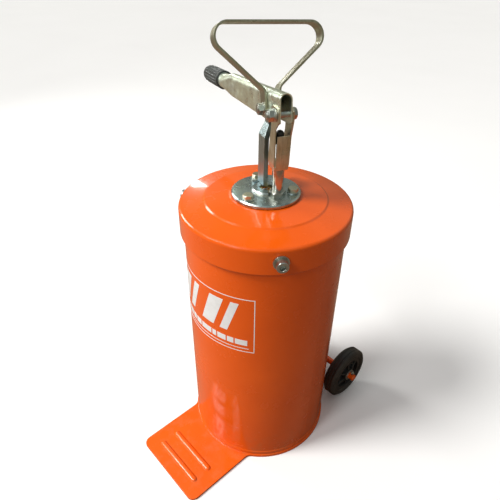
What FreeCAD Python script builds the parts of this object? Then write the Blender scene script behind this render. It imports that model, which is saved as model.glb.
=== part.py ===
import FreeCAD, Part
import math
import os

# Hand-lever gear oil pump on a wheeled steel drum.
# Frame: origin on the drum's axis at the floor, +Z up, the foot plate towards -Y,
# the wheels at +Y, the wheel axle along X.  All sizes are in millimetres.

Vec = FreeCAD.Vector
AXIS_X, AXIS_Y, AXIS_Z = Vec(1, 0, 0), Vec(0, 1, 0), Vec(0, 0, 1)
GAP = 0.3                      # clearance between faces that move past each other
RUNNING = 0.05                 # radial clearance of a shaft in its bore

# ---- drum, base and wheels ----
DRUM_R = 117.5
DRUM_WALL = 1.5
DRUM_TOP = 436.0
DRUM_FLOOR_Z = 11.0
CHIME = 0.9                    # how far the drum's bottom hem stands proud
BASE_T = 4.0
FOOT_HALF_W = 72.0
FOOT_REACH = 217.0
TREAD_YS = (-192.0, -163.0)    # the two ribs pressed across the foot
TREAD_HALF = 44.0
TREAD_R, TREAD_SINK = 6.0, 3.0
WHEEL_R = 50.0
RIM_R = 36.0
WHEEL_W = 24.0
WHEEL_X = 90.0                 # middle of each wheel
AXLE_R = 6.0
AXLE_Y = 140.0
AXLE_Z = 52.0                  # the wheels clear the floor by 2 mm until the drum is tipped
AXLE_HALF = 115.0
SPLIT_PIN_R = 1.5
SPLIT_PIN_X = AXLE_HALF - 6
BRACKET_X = 33.0
BRACKET_T = 5.0

# ---- lid and flange ----
LID_R = 122.9
LID_T = 1.5
LID_SKIRT_Z = 404.6
LID_EDGE_Z = 443.5             # height of the top where it starts to round over
LID_ROUND = 5.0
LID_TOP_Z = 454.0
LID_FLAT_R = 52.0
LID_STEP_R = 88.0
CLAMP_Z = 423.6
CLAMP_ANGLE = -35.0            # first lid clamp screw, the others follow at 120 degrees
FLANGE_R = 48.4
GASKET_T = 1.0
FLANGE_T = 5.0
FLANGE_PCD_R = 37.5
FLANGE_Z = LID_TOP_Z + GASKET_T
FLANGE_TOP = FLANGE_Z + FLANGE_T
COLLAR_R = 20.0
COLLAR_H = 4.0
COLLAR_TOP = FLANGE_TOP + COLLAR_H
GLAND_R = 9.0
PLUG_R = 9.2
BOLT_R = 4.0                   # M8

# ---- pump head, in the head's own frame ----
# Head frame: +X points along the lever towards its grip, seen from above.
HEAD_ANGLE = 156.0             # the lever's direction about +Z
MID_Y = -9.0                   # the plane that the lever, rod and yoke share
ROD_X = -19.0
ROD_R = 7.0
FULCRUM_X, FULCRUM_Z = 12.5, 569.0
SWING = 42.0                   # lever travel in degrees

# ---- lever, drawn level with its link bolt at the origin, then tilted ----
LEVER_TILT = 6.5               # the grip hangs this many degrees below level at rest
LINK_ARM = 40.2                # fulcrum bolt to link bolt
LEVER_RISE = 4.0               # the lever's middle line above the line of its two bolts
LEVER_W, LEVER_WALL = 16.4, 1.5
LEVER_H_NEAR, LEVER_H_FAR = 44.0, 35.0   # the flattened tube is tallest at its fork end
LEVER_TUBE_R = 12.0
LEVER_NEAR = -8.5              # end of the fork, past the link bolt
EAR_R = 12.0                   # how far the fork's walls reach below its bolts
LEVER_SIDE = LEVER_W / 2
NECK_START, NECK_END = 206.0, 243.0
GRIP_START = 262.0
GRIP_LEN = 100.0
GRIP_R = 15.0
LEVER_END = GRIP_START + GRIP_LEN - 3
LINK_ANGLE = 180.0 - LEVER_TILT
LINK_X = FULCRUM_X + LINK_ARM * math.cos(math.radians(LINK_ANGLE))
LINK_Z = FULCRUM_Z + LINK_ARM * math.sin(math.radians(LINK_ANGLE))

# ---- support, sleeve and carrying handle ----
STRAP_OUT_Y = 4.0              # outer face of the thick lower part
STRAP_T = 6.5
STRAP_HEAD_Y = MID_Y + LEVER_SIDE - LEVER_WALL - 1.2    # outer face of the part inside the lever
STRAP_HEAD_T = 4.5
STRAP_HALF = 11.0
JOGGLE_Z0, JOGGLE_Z1 = 533.0, 549.0                     # where the strap steps inwards
SLEEVE_R = 6.0
HANDLE_W, HANDLE_T = 17.0, 2.8
HANDLE_LEAN = 17.0             # the handle leans back towards the grip by this many degrees
HANDLE_CORNERS = ((84.7, 103.6), (-109.0, 96.0))        # (Y, height above the fulcrum), unrounded
HANDLE_KNEES = (22.1, 24.6)    # height above the fulcrum where each leg bends out
HANDLE_R = 16.5
HANDLE_FOOT = 9.0
BEND_R = 10.0
LEG_LEFT = MID_Y + LEVER_SIDE + GAP + HANDLE_T / 2
LEG_RIGHT = MID_Y - LEVER_SIDE - GAP - HANDLE_T / 2

# ---- yoke and piston rod ----
ROD_TOP_Z = 500.0              # the shoulder that the yoke stands on
YOKE_BASE_T = 4.0
STUD_TOP_Z = 540.0
YOKE_T = 2.0
YOKE_HALF = LEVER_SIDE + GAP + YOKE_T
YOKE_HALF_FOOT = 9.2
YOKE_FLARE_Z = ROD_TOP_Z + 8   # the fold narrows below this height
WEB_X = -32.0                  # leading edge of the yoke at the top of its web
WEB_TOP_Z = 547.0
WEB_LEFT_Y = -1.3              # the web's free edge beside the left arm
LEFT_ARM_X = -27.8             # leading edge of the left arm, beside the web
BUFFER_R = 5.5
SLOT_R = BOLT_R + 0.9

# ---- pump tube, piston, valves and delivery ----
TUBE_R, TUBE_BORE_R = 14.0, 12.2
TUBE_FOOT_Z = 38.0
PISTON_Z = 92.0
PISTON_H = 24.0
PISTON_SEAT_R, PISTON_BALL_R = 4.0, 5.0
PISTON_SEAT_Z = PISTON_Z + 3.0
SEAL_ZS = (PISTON_Z + 5.0, PISTON_Z + 16.0)
SEAL_H, SEAL_DEPTH = 2.6, 2.0
FOOT_SEAT_R, FOOT_BALL_R, FOOT_SEAT_Z = 5.0, 6.5, 42.0
FOOT_PIN_Z = 57.0
PIPE_Z = 425.0
PIPE_R, PIPE_BORE_R = 5.0, 3.5
OUTLET_XY = (25.0, -27.5)
OUTLET_FACING = -25.0          # the port's direction in the head's frame
OUTLET_NECK_R = 7.0
OUTLET_PORT_R = 5.9            # tapping hole of a quarter-inch pipe thread
OUTLET_PORT_Z = FLANGE_TOP + 20
OUTLET_BLOCK = 8.5             # half the outlet block's width

HEX = math.cos(math.radians(30))


# ---- small helpers ----
def cyl(r, z0, z1, x=0.0, y=0.0):
    return Part.makeCylinder(r, z1 - z0, Vec(x, y, z0))


def rod_along(start, end, r):
    start, end = Vec(*start), Vec(*end)
    return Part.makeCylinder(r, (end - start).Length, start, end - start)


def box(x0, x1, y0, y1, z0, z1):
    return Part.makeBox(x1 - x0, y1 - y0, z1 - z0, Vec(x0, y0, z0))


def ring(r_out, r_in, z0, z1, x=0.0, y=0.0):
    return cyl(r_out, z0, z1, x, y).cut(cyl(r_in, z0 - 1, z1 + 1, x, y))


def revolve(points):
    """A closed (radius, height) outline turned once round the Z axis."""
    wire = Part.makePolygon([Vec(r, 0, z) for r, z in points + points[:1]])
    return Part.Face(wire).revolve(Vec(0, 0, 0), AXIS_Z, 360)


def prism(points, y0, y1):
    """A closed (x, z) outline drawn out along Y."""
    wire = Part.makePolygon([Vec(x, y0, z) for x, z in points + points[:1]])
    return Part.Face(wire).extrude(Vec(0, y1 - y0, 0))


def hexagon(across_flats, height, base, axis=AXIS_Z, turn=0.0):
    """A hexagonal prism whose base is centred on base."""
    r = across_flats / 2 / HEX
    angles = [math.radians(turn + 60 * i) for i in range(7)]
    wire = Part.makePolygon([Vec(r * math.cos(a), r * math.sin(a), 0) for a in angles])
    solid = Part.Face(wire).extrude(Vec(0, 0, height))
    solid = solid.common(chamfer_cone(r, height))
    solid.Placement = FreeCAD.Placement(Vec(*base), FreeCAD.Rotation(AXIS_Z, axis))
    return solid


def chamfer_cone(r, height):
    """The turned outline that takes the corners off a nut or a bolt head."""
    drop = 0.12 * r
    return revolve([(0, 0), (r, 0), (r, height - drop), (r * 0.86, height), (0, height)])


def fillet(shape, radius, chosen):
    edges = [e for e in shape.Edges if chosen(e)]
    return shape.makeFillet(radius, edges)


def upright(edge):
    a, b = edge.Vertexes[0].Point, edge.Vertexes[-1].Point
    return abs(a.z - b.z) > 1 and abs(a.x - b.x) + abs(a.y - b.y) < 1e-6


def turned(shape, angle, centre=Vec(0, 0, 0), axis=AXIS_Z):
    out = shape.copy()
    out.rotate(centre, axis, angle)
    return out


def head(shape):
    """Turn a shape from the head's frame into the object's frame."""
    return turned(shape, HEAD_ANGLE)


def group(shapes):
    return Part.makeCompound(shapes)


def save(name, shape):
    shape.exportStep("parts/%s.step" % name)


# ---- drum and base ----
def base_plate():
    disc = cyl(DRUM_R + 2.5, 0, BASE_T)
    foot = box(-FOOT_HALF_W, FOOT_HALF_W, -FOOT_REACH, 0, 0, BASE_T)
    foot = fillet(foot, 12, lambda e: upright(e) and e.Vertexes[0].Y < -1)
    tail_w = BRACKET_X + 9
    tail = box(-tail_w, tail_w, 0, AXLE_Y + 12, 0, BASE_T)
    tail = fillet(tail, 10, lambda e: upright(e) and e.Vertexes[0].Y > 1)
    plate = disc.fuse(foot).fuse(tail).removeSplitter()
    inner = [e for e in plate.Edges if upright(e) and is_inner_corner(e, tail_w)]
    plate = plate.makeFillet(14, inner)
    for y in TREAD_YS:
        plate = plate.fuse(tread_rib(y))
    return plate.removeSplitter()


def is_inner_corner(edge, tail_w):
    """True on the upright edges where the foot or the tail runs into the disc."""
    p = edge.Vertexes[0].Point
    on_disc = abs(math.hypot(p.x, p.y) - (DRUM_R + 2.5)) < 0.01
    at_side = min(abs(abs(p.x) - FOOT_HALF_W), abs(abs(p.x) - tail_w)) < 0.01
    return on_disc and at_side


def tread_rib(y):
    """A pressed rib across the foot, with ball ends."""
    z = BASE_T - TREAD_SINK
    bar = rod_along((-TREAD_HALF, y, z), (TREAD_HALF, y, z), TREAD_R)
    ends = [Part.makeSphere(TREAD_R, Vec(side * TREAD_HALF, y, z)) for side in (-1, 1)]
    rib = bar.fuse(ends[0]).fuse(ends[1])
    return rib.common(box(-100, 100, y - 10, y + 10, BASE_T / 2, BASE_T + TREAD_R))


def drum_shell():
    r, t = DRUM_R, DRUM_WALL
    outline = [(r - t, BASE_T), (r + CHIME, BASE_T), (r + CHIME, BASE_T + 8), (r, BASE_T + 9.5),
               (r, DRUM_TOP - 4), (r, DRUM_TOP), (r - 4, DRUM_TOP), (r - 4, DRUM_TOP - 4),
               (r - t, DRUM_TOP - 4)]
    return revolve(outline)


def drum_bottom():
    r = DRUM_R - DRUM_WALL
    disc = cyl(r, DRUM_FLOOR_Z - 1.5, DRUM_FLOOR_Z)
    return disc.fuse(ring(r, r - 1.5, BASE_T, DRUM_FLOOR_Z - 1)).removeSplitter()


def axle_brackets():
    """Two upright lugs welded between the base, the drum and the axle."""
    top = AXLE_Z + 12
    plates = []
    for side in (-1, 1):
        x0 = side * BRACKET_X - BRACKET_T / 2
        outline = Part.makePolygon([Vec(x0, 100, BASE_T), Vec(x0, AXLE_Y + 12, BASE_T),
                                    Vec(x0, AXLE_Y + 12, AXLE_Z), Vec(x0, AXLE_Y, top),
                                    Vec(x0, 100, top + 20), Vec(x0, 100, BASE_T)])
        plate = Part.Face(outline).extrude(Vec(BRACKET_T, 0, 0))
        plate = plate.cut(cyl(DRUM_R + CHIME, 0, 200))
        hole = rod_along((x0 - 1, AXLE_Y, AXLE_Z), (x0 + BRACKET_T + 2, AXLE_Y, AXLE_Z), AXLE_R)
        plates.append(plate.cut(hole))
    return group(plates)


def wheel_axle():
    axle = rod_along((-AXLE_HALF, AXLE_Y, AXLE_Z), (AXLE_HALF, AXLE_Y, AXLE_Z), AXLE_R)
    ends = [e for e in axle.Edges if abs(abs(e.CenterOfMass.x) - AXLE_HALF) < 0.01]
    axle = axle.makeChamfer(1.2, ends)
    for side in (-1, 1):
        x = side * SPLIT_PIN_X
        hole_r = SPLIT_PIN_R + 0.1
        axle = axle.cut(cyl(hole_r, AXLE_Z - 10, AXLE_Z + 10, x, AXLE_Y))
    return axle


def axle_rings(r_out, x_near, x_far):
    """The same ring on both ends of the axle."""
    rings = []
    for side in (-1, 1):
        near, far = side * x_near, side * x_far
        solid = rod_along((near, AXLE_Y, AXLE_Z), (far, AXLE_Y, AXLE_Z), r_out)
        hole = rod_along((near - side, AXLE_Y, AXLE_Z), (far + side, AXLE_Y, AXLE_Z), AXLE_R)
        rings.append(solid.cut(hole))
    return rings


def split_pins():
    pins = []
    for side in (-1, 1):
        x = side * SPLIT_PIN_X
        shank = cyl(SPLIT_PIN_R, AXLE_Z - 11, AXLE_Z + 8, x, AXLE_Y)
        eye = Part.makeTorus(2.6, 1.2, Vec(x, AXLE_Y, AXLE_Z + 10), AXIS_Y)
        pins.append(shank.fuse(eye))
    return group(pins)


def wheel_turned(points, side):
    """A (radius, offset) outline turned round the axle at one wheel."""
    solid = revolve(points)
    centre = Vec(side * WHEEL_X, AXLE_Y, AXLE_Z)
    solid.Placement = FreeCAD.Placement(centre, FreeCAD.Rotation(AXIS_Y, 90))
    return solid


def tyre(side):
    h, c = WHEEL_W / 2, 4.5
    return wheel_turned([(RIM_R, -h + 2), (RIM_R + 2, -h), (WHEEL_R - c, -h), (WHEEL_R, -h + c),
                         (WHEEL_R, h - c), (WHEEL_R - c, h), (RIM_R + 2, h), (RIM_R, h - 2)], side)


def wheel_hub(side):
    h, bore = WHEEL_W / 2, AXLE_R + RUNNING
    return wheel_turned([(bore, -h), (12, -h), (12.5, -5), (29, -4), (30, -h + 2), (RIM_R, -h + 2),
                         (RIM_R, h - 2), (30, h - 2), (29, 4), (12.5, 5), (12, h), (bore, h)], side)


# ---- lid ----
def opening(z0, z1, extra=0.0):
    """The opening through lid and gasket for the pump tube, the filler and the delivery pipe."""
    pump = cyl(TUBE_R + 1.5 + extra, z0, z1, ROD_X, MID_Y)
    filler = cyl(COLLAR_R - 4 + extra, z0, z1)
    out_x, out_y = OUTLET_XY
    end = cyl(9 + extra, z0, z1, out_x, out_y)
    length = math.hypot(out_x - ROD_X, out_y - MID_Y)
    slot = box(0, length, -9 - extra, 9 + extra, z0, z1)
    slot.rotate(Vec(0, 0, 0), AXIS_Z, math.degrees(math.atan2(out_y - MID_Y, out_x - ROD_X)))
    slot.translate(Vec(ROD_X, MID_Y, 0))
    return pump.fuse(filler).fuse(slot).fuse(end)


def screw_places():
    angles = [math.radians(a) for a in (0, 120, 240)]
    return [(FLANGE_PCD_R * math.cos(a), FLANGE_PCD_R * math.sin(a)) for a in angles]


def lid_outline(shrink):
    """The lid's outline, moved inwards by shrink: flat middle, cone, step, rounded shoulder, skirt."""
    s = shrink
    step_z = LID_TOP_Z - 3.5
    round_r = LID_ROUND - s
    centre_r, centre_z = LID_R - LID_ROUND, LID_EDGE_Z - LID_ROUND
    angles = [math.radians(a) for a in (90, 67.5, 45, 22.5, 0)]
    shoulder = [(centre_r + round_r * math.cos(a), centre_z + round_r * math.sin(a)) for a in angles]
    return [(0, LID_TOP_Z - s), (LID_FLAT_R, LID_TOP_Z - s), (LID_STEP_R - 2.5, step_z - s),
            (LID_STEP_R, step_z - 1.8 - s)] + shoulder + [(LID_R - s, LID_SKIRT_Z)]


def lid():
    outline = lid_outline(0) + list(reversed(lid_outline(LID_T)))
    shape = revolve(outline)
    holes = [opening(LID_TOP_Z - 5, LID_TOP_Z + 5)]
    holes += [cyl(BOLT_R + 0.4, LID_TOP_Z - 5, LID_TOP_Z + 5, x, y) for x, y in screw_places()]
    for hole in holes:
        shape = shape.cut(head(hole))
    clamp_hole = rod_along((LID_R - 9, 0, CLAMP_Z), (LID_R + 9, 0, CLAMP_Z), 5.3)
    for angle in clamp_angles():
        shape = shape.cut(turned(clamp_hole, angle))
    return shape


def clamp_angles():
    return [CLAMP_ANGLE + 120 * i for i in range(3)]


def lid_clamps(shape):
    return group([turned(shape, a) for a in clamp_angles()])


def clamp_screw():
    """A socket-head screw that comes through the skirt and stops just short of the drum."""
    seat = LID_R + 2.0
    shank = rod_along((DRUM_R + 0.6, 0, CLAMP_Z), (seat, 0, CLAMP_Z), 5.0)
    cap = rod_along((seat, 0, CLAMP_Z), (seat + 10, 0, CLAMP_Z), 8.0)
    rim = [e for e in cap.Edges if abs(e.CenterOfMass.x - seat - 10) < 0.01]
    cap = cap.makeChamfer(0.8, rim)
    socket = hexagon(8, 6, (seat + 4.5, 0, CLAMP_Z), AXIS_X)
    return shank.fuse(cap.cut(socket)).removeSplitter()


def clamp_washer():
    disc = rod_along((LID_R - 0.2, 0, CLAMP_Z), (LID_R + 2.0, 0, CLAMP_Z), 10.5)
    disc = disc.cut(rod_along((LID_R - 5, 0, CLAMP_Z), (LID_R + 5, 0, CLAMP_Z), 5.3))
    return disc.cut(cyl(LID_R, CLAMP_Z - 20, CLAMP_Z + 20))


def clamp_nut():
    """A thin nut welded inside the skirt."""
    inner = DRUM_R + 0.7
    nut = hexagon(16, 6, (inner, 0, CLAMP_Z), AXIS_X)
    nut = nut.cut(rod_along((inner - 2, 0, CLAMP_Z), (inner + 9, 0, CLAMP_Z), 5.05))
    skirt_inside = cyl(LID_R - LID_T, CLAMP_Z - 20, CLAMP_Z + 20)
    return nut.common(skirt_inside)


def lid_seal():
    return ring(DRUM_R + 0.5, DRUM_R - 9, DRUM_TOP + 0.4, LID_EDGE_Z - LID_T - 0.1)


# ---- flange and what it carries ----
def flange_gasket():
    disc = cyl(FLANGE_R - 1.5, LID_TOP_Z, FLANGE_Z).cut(opening(LID_TOP_Z - 1, FLANGE_Z + 1))
    for x, y in screw_places():
        disc = disc.cut(cyl(BOLT_R + 0.4, LID_TOP_Z - 1, FLANGE_Z + 1, x, y))
    return head(disc)


def pump_flange():
    disc = cyl(FLANGE_R, FLANGE_Z, FLANGE_TOP)
    rim = [e for e in disc.Edges if abs(e.CenterOfMass.z - FLANGE_TOP) < 0.01]
    disc = disc.makeChamfer(1.6, rim)
    collar = cyl(COLLAR_R, FLANGE_TOP - 1, COLLAR_TOP)
    top = [e for e in collar.Edges if abs(e.CenterOfMass.z - COLLAR_TOP) < 0.01]
    collar = collar.makeChamfer(2.0, top)
    collar = collar.cut(cyl(GLAND_R + 4.0, FLANGE_TOP, COLLAR_TOP + 1, ROD_X, MID_Y))
    shape = disc.fuse(collar).removeSplitter()
    shape = shape.cut(cyl(PLUG_R, FLANGE_Z - 1, COLLAR_TOP + 1))
    shape = shape.cut(cyl(GLAND_R, FLANGE_Z - 1, FLANGE_TOP + 1, ROD_X, MID_Y))
    shape = shape.cut(cyl(OUTLET_NECK_R, FLANGE_Z - 1, FLANGE_TOP + 1, *OUTLET_XY))
    for x, y in screw_places():
        shape = shape.cut(cyl(BOLT_R + 0.3, FLANGE_Z - 1, FLANGE_TOP + 1, x, y))
    return head(shape)


def filler_plug():
    """The plug that closes the filler hole, sunk below the collar's rim."""
    top = COLLAR_TOP - 2.5
    plug = cyl(PLUG_R, FLANGE_Z, top)
    return head(plug.cut(hexagon(10, 8, (0, 0, top - 6))))


def flange_screws():
    seat = FLANGE_TOP + 1.6
    screws = []
    for x, y in screw_places():
        shank = cyl(BOLT_R, FLANGE_Z - 14, seat, x, y)
        screws.append(shank.fuse(hexagon(13, 5.3, (x, y, seat), turn=11)).removeSplitter())
    return head(group(screws))


def flange_washers():
    top = FLANGE_TOP + 1.6
    return head(group([ring(8, BOLT_R + 0.2, FLANGE_TOP, top, x, y) for x, y in screw_places()]))


def flange_nuts():
    top = LID_TOP_Z - LID_T
    nuts = []
    for x, y in screw_places():
        nuts.append(hexagon(13, 6.5, (x, y, top - 6.5)).cut(cyl(BOLT_R, top - 8, top + 1, x, y)))
    return head(group(nuts))


def gland_nut():
    neck = cyl(GLAND_R, FLANGE_Z, FLANGE_TOP, ROD_X, MID_Y)
    cap = hexagon(20, 6.5, (ROD_X, MID_Y, FLANGE_TOP), turn=15)
    nut = neck.fuse(cap).removeSplitter()
    return head(nut.cut(cyl(ROD_R + RUNNING, FLANGE_Z - 1, FLANGE_TOP + 8, ROD_X, MID_Y)))


def rod_seal():
    return head(ring(TUBE_BORE_R, ROD_R + RUNNING, FLANGE_Z - 5, FLANGE_Z, ROD_X, MID_Y))


def guide_bush():
    """The brass bush below the seal; it stops above the delivery pipe's port."""
    return head(ring(TUBE_BORE_R, ROD_R + RUNNING, PIPE_Z + 8, FLANGE_Z - 5, ROD_X, MID_Y))


def delivery_angle():
    return math.degrees(math.atan2(OUTLET_XY[1] - MID_Y, OUTLET_XY[0] - ROD_X))


def delivery_pipe():
    """A short pipe from the tube's port to the outlet, under the lid."""
    out_x, out_y = OUTLET_XY
    a = math.radians(delivery_angle())
    start = (ROD_X + (TUBE_R - 0.9) * math.cos(a), MID_Y + (TUBE_R - 0.9) * math.sin(a), PIPE_Z)
    corner = (out_x, out_y, PIPE_Z)
    top = (out_x, out_y, FLANGE_Z - 8)
    outer = rod_along(start, corner, PIPE_R).fuse(Part.makeSphere(PIPE_R, Vec(*corner)))
    outer = outer.fuse(rod_along(corner, top, PIPE_R)).cut(cyl(TUBE_R, 400, 455, ROD_X, MID_Y))
    inner = rod_along((ROD_X, MID_Y, PIPE_Z), corner, PIPE_BORE_R)
    inner = inner.fuse(Part.makeSphere(PIPE_BORE_R, Vec(*corner)))
    inner = inner.fuse(rod_along(corner, (out_x, out_y, FLANGE_Z), PIPE_BORE_R))
    return head(outer.cut(inner).removeSplitter())


def outlet_fitting():
    """The delivery outlet: a block on the flange with a threaded port facing out."""
    x, y = OUTLET_XY
    b = OUTLET_BLOCK
    a = math.radians(OUTLET_FACING)
    body = box(-b, b, -b, b, FLANGE_TOP, OUTLET_PORT_Z + b)
    body = fillet(body, 2.0, upright)
    body = turned(body, OUTLET_FACING)
    body.translate(Vec(x, y, 0))
    neck = cyl(OUTLET_NECK_R, FLANGE_Z - 8, FLANGE_TOP, x, y)
    out = (x + (b + 4) * math.cos(a), y + (b + 4) * math.sin(a), OUTLET_PORT_Z)
    boss = rod_along((x, y, OUTLET_PORT_Z), out, b - 1)
    mouth = (x + (b + 5) * math.cos(a), y + (b + 5) * math.sin(a), OUTLET_PORT_Z)
    fitting = body.fuse(neck).fuse(boss).removeSplitter()
    fitting = fitting.cut(rod_along((x, y, OUTLET_PORT_Z), mouth, OUTLET_PORT_R))
    return head(fitting.cut(cyl(PIPE_BORE_R, FLANGE_Z - 9, OUTLET_PORT_Z, x, y)))


# ---- pump tube, piston and valves ----
def pump_cylinder():
    tube = ring(TUBE_R, TUBE_BORE_R, TUBE_FOOT_Z, FLANGE_Z, ROD_X, MID_Y)
    a = math.radians(delivery_angle())
    far = (ROD_X + 20 * math.cos(a), MID_Y + 20 * math.sin(a), PIPE_Z)
    return head(tube.cut(rod_along((ROD_X, MID_Y, PIPE_Z), far, PIPE_BORE_R)))


def foot_valve_body():
    """Closes the tube's lower end and holds the inlet ball on its seat."""
    cap = cyl(TUBE_R + 2, 28, TUBE_FOOT_Z, ROD_X, MID_Y)
    spigot = cyl(TUBE_BORE_R, TUBE_FOOT_Z, 60, ROD_X, MID_Y)
    body = cap.fuse(spigot).removeSplitter()
    body = body.cut(cyl(FOOT_SEAT_R, 27, 61, ROD_X, MID_Y))
    body = body.cut(cyl(8.5, FOOT_SEAT_Z, 61, ROD_X, MID_Y))
    return head(body.cut(foot_pin(1.25)))


def foot_pin(r):
    return rod_along((ROD_X, MID_Y - 12, FOOT_PIN_Z), (ROD_X, MID_Y + 12, FOOT_PIN_Z), r)


def ball(r, seat_r, seat_z):
    """A valve ball that rests on the edge of its seat."""
    z = seat_z + math.sqrt(r * r - seat_r * seat_r) + 0.04
    return head(Part.makeSphere(r, Vec(ROD_X, MID_Y, z)))


def strainer():
    top, bottom, r = 28.0, 14.0, TUBE_R + 2
    cup = cyl(r, bottom, top, ROD_X, MID_Y).cut(cyl(r - 1, bottom + 1, top + 1, ROD_X, MID_Y))
    for i in range(10):
        slot = box(r - 4, r + 4, -1.6, 1.6, bottom + 3, top - 3)
        slot.rotate(Vec(0, 0, 0), AXIS_Z, 36 * i)
        slot.translate(Vec(ROD_X, MID_Y, 0))
        cup = cup.cut(slot)
    return head(cup)


def piston_rod():
    rod = cyl(ROD_R, PISTON_Z + PISTON_H - 10, ROD_TOP_Z, ROD_X, MID_Y)
    rod = rod.fuse(cyl(BOLT_R, ROD_TOP_Z, STUD_TOP_Z, ROD_X, MID_Y))
    return head(rod.removeSplitter())


def rod_nut():
    nut = hexagon(13, 6.5, (ROD_X, MID_Y, ROD_TOP_Z + YOKE_BASE_T), turn=30)
    return head(nut.cut(cyl(BOLT_R, ROD_TOP_Z, STUD_TOP_Z + 1, ROD_X, MID_Y)))


def piston():
    r = TUBE_BORE_R - 0.08
    body = cyl(r, PISTON_Z, PISTON_Z + PISTON_H, ROD_X, MID_Y)
    body = body.cut(cyl(PISTON_SEAT_R, PISTON_Z - 1, PISTON_Z + 5, ROD_X, MID_Y))
    body = body.cut(cyl(6.2, PISTON_SEAT_Z, PISTON_Z + PISTON_H - 10, ROD_X, MID_Y))
    body = body.cut(cyl(ROD_R, PISTON_Z + PISTON_H - 10, PISTON_Z + PISTON_H + 1, ROD_X, MID_Y))
    for i in range(4):
        port = box(4, 9.6, -1.5, 1.5, PISTON_Z + 9, PISTON_Z + PISTON_H + 1)
        port.rotate(Vec(0, 0, 0), AXIS_Z, 45 + 90 * i)
        port.translate(Vec(ROD_X, MID_Y, 0))
        body = body.cut(port)
    for z in SEAL_ZS:
        body = body.cut(ring(r + 1, r - SEAL_DEPTH, z, z + SEAL_H, ROD_X, MID_Y))
    return head(body)


def piston_seals():
    r_out, r_in = TUBE_BORE_R - 0.04, TUBE_BORE_R - 0.08 - SEAL_DEPTH
    return head(group([ring(r_out, r_in, z, z + SEAL_H, ROD_X, MID_Y) for z in SEAL_ZS]))


# ---- lever, its yoke and its support ----
def pin_travel():
    """How far the link bolt moves along the head's X over the whole swing."""
    angles = [math.radians(LINK_ANGLE + SWING * i / 20) for i in range(21)]
    xs = [FULCRUM_X + LINK_ARM * math.cos(a) for a in angles]
    return min(xs), max(xs)


def yoke_side(front):
    """The yoke seen from the side; front moves its leading edge back by that much."""
    near, far = pin_travel()
    lead = near - SLOT_R - 5 + front
    trail = far + SLOT_R + 3
    return [(ROD_X - 9.5 + front, ROD_TOP_Z), (WEB_X + front, WEB_TOP_Z), (lead, LINK_Z - 7),
            (lead, LINK_Z + 5), (lead + 4, LINK_Z + 9), (trail - 4, LINK_Z + 9), (trail, LINK_Z + 5),
            (trail, LINK_Z - 10), (trail - 2.2, LINK_Z - 14.5), (trail - 1.7, WEB_TOP_Z + 4),
            (trail + 1.3, WEB_TOP_Z - 7), (ROD_X + 12, ROD_TOP_Z)]


def fold(half_foot, half, z_foot):
    """The fold seen from the front, drawn out along X: narrow at its foot, then parallel."""
    z_top = LINK_Z + 30
    points = [(-half_foot, z_foot), (-half, YOKE_FLARE_Z), (-half, z_top),
              (half, z_top), (half, YOKE_FLARE_Z), (half_foot, z_foot)]
    wire = Part.makePolygon([Vec(-80, MID_Y + y, z) for y, z in points + points[:1]])
    return Part.Face(wire).extrude(Vec(120, 0, 0))


def left_relief():
    """What is cut away in front of the left arm, so that the web stands free beside it."""
    z0 = ROD_TOP_Z + YOKE_BASE_T + 1
    step_z = WEB_TOP_Z + 8.5
    points = [(-60, z0), (LEFT_ARM_X, z0), (LEFT_ARM_X, step_z), (LEFT_ARM_X - 11, step_z + 12),
              (-60, step_z + 12)]
    return prism(points, WEB_LEFT_Y, MID_Y + 30)


def yoke():
    """A folded steel fork: base, front web and two slotted arms."""
    t = YOKE_T
    y0, y1 = MID_Y - 30, MID_Y + 30
    outer = prism(yoke_side(0), y0, y1).common(fold(YOKE_HALF_FOOT, YOKE_HALF, ROD_TOP_Z))
    hollow = prism(yoke_side(t), y0, y1)
    hollow = hollow.fuse(box(ROD_X - 2, 40, y0, y1, ROD_TOP_Z, LINK_Z + 20))
    lead = pin_travel()[0] - SLOT_R - 12
    hollow = hollow.fuse(box(lead, 40, y0, y1, WEB_TOP_Z, LINK_Z + 20))
    inside = fold(YOKE_HALF_FOOT - t, YOKE_HALF - t, ROD_TOP_Z)
    inside = inside.cut(box(-90, 60, y0, y1, 0, ROD_TOP_Z + YOKE_BASE_T))
    shape = outer.cut(hollow.common(inside)).cut(left_relief())
    near, far = pin_travel()
    slot = box(near, far, y0, y1, LINK_Z - SLOT_R, LINK_Z + SLOT_R)
    for x in (near, far):
        slot = slot.fuse(rod_along((x, y0, LINK_Z), (x, y1, LINK_Z), SLOT_R))
    shape = shape.cut(slot)
    return head(shape.cut(cyl(BOLT_R, ROD_TOP_Z - 1, ROD_TOP_Z + 6, ROD_X, MID_Y)))


def buffer_dome():
    """A rubber buffer with a domed head, pushed over the end of the rod's stud."""
    shoulder_z = STUD_TOP_Z + BUFFER_R
    sleeve = cyl(BUFFER_R, STUD_TOP_Z - 7, shoulder_z, ROD_X, MID_Y)
    dome = Part.makeSphere(BUFFER_R, Vec(ROD_X, MID_Y, shoulder_z))
    dome = dome.common(box(-60, 0, -40, 40, shoulder_z, shoulder_z + 10))
    cap = sleeve.fuse(dome).removeSplitter()
    return head(cap.cut(cyl(BOLT_R, STUD_TOP_Z - 8, STUD_TOP_Z, ROD_X, MID_Y)))


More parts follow.
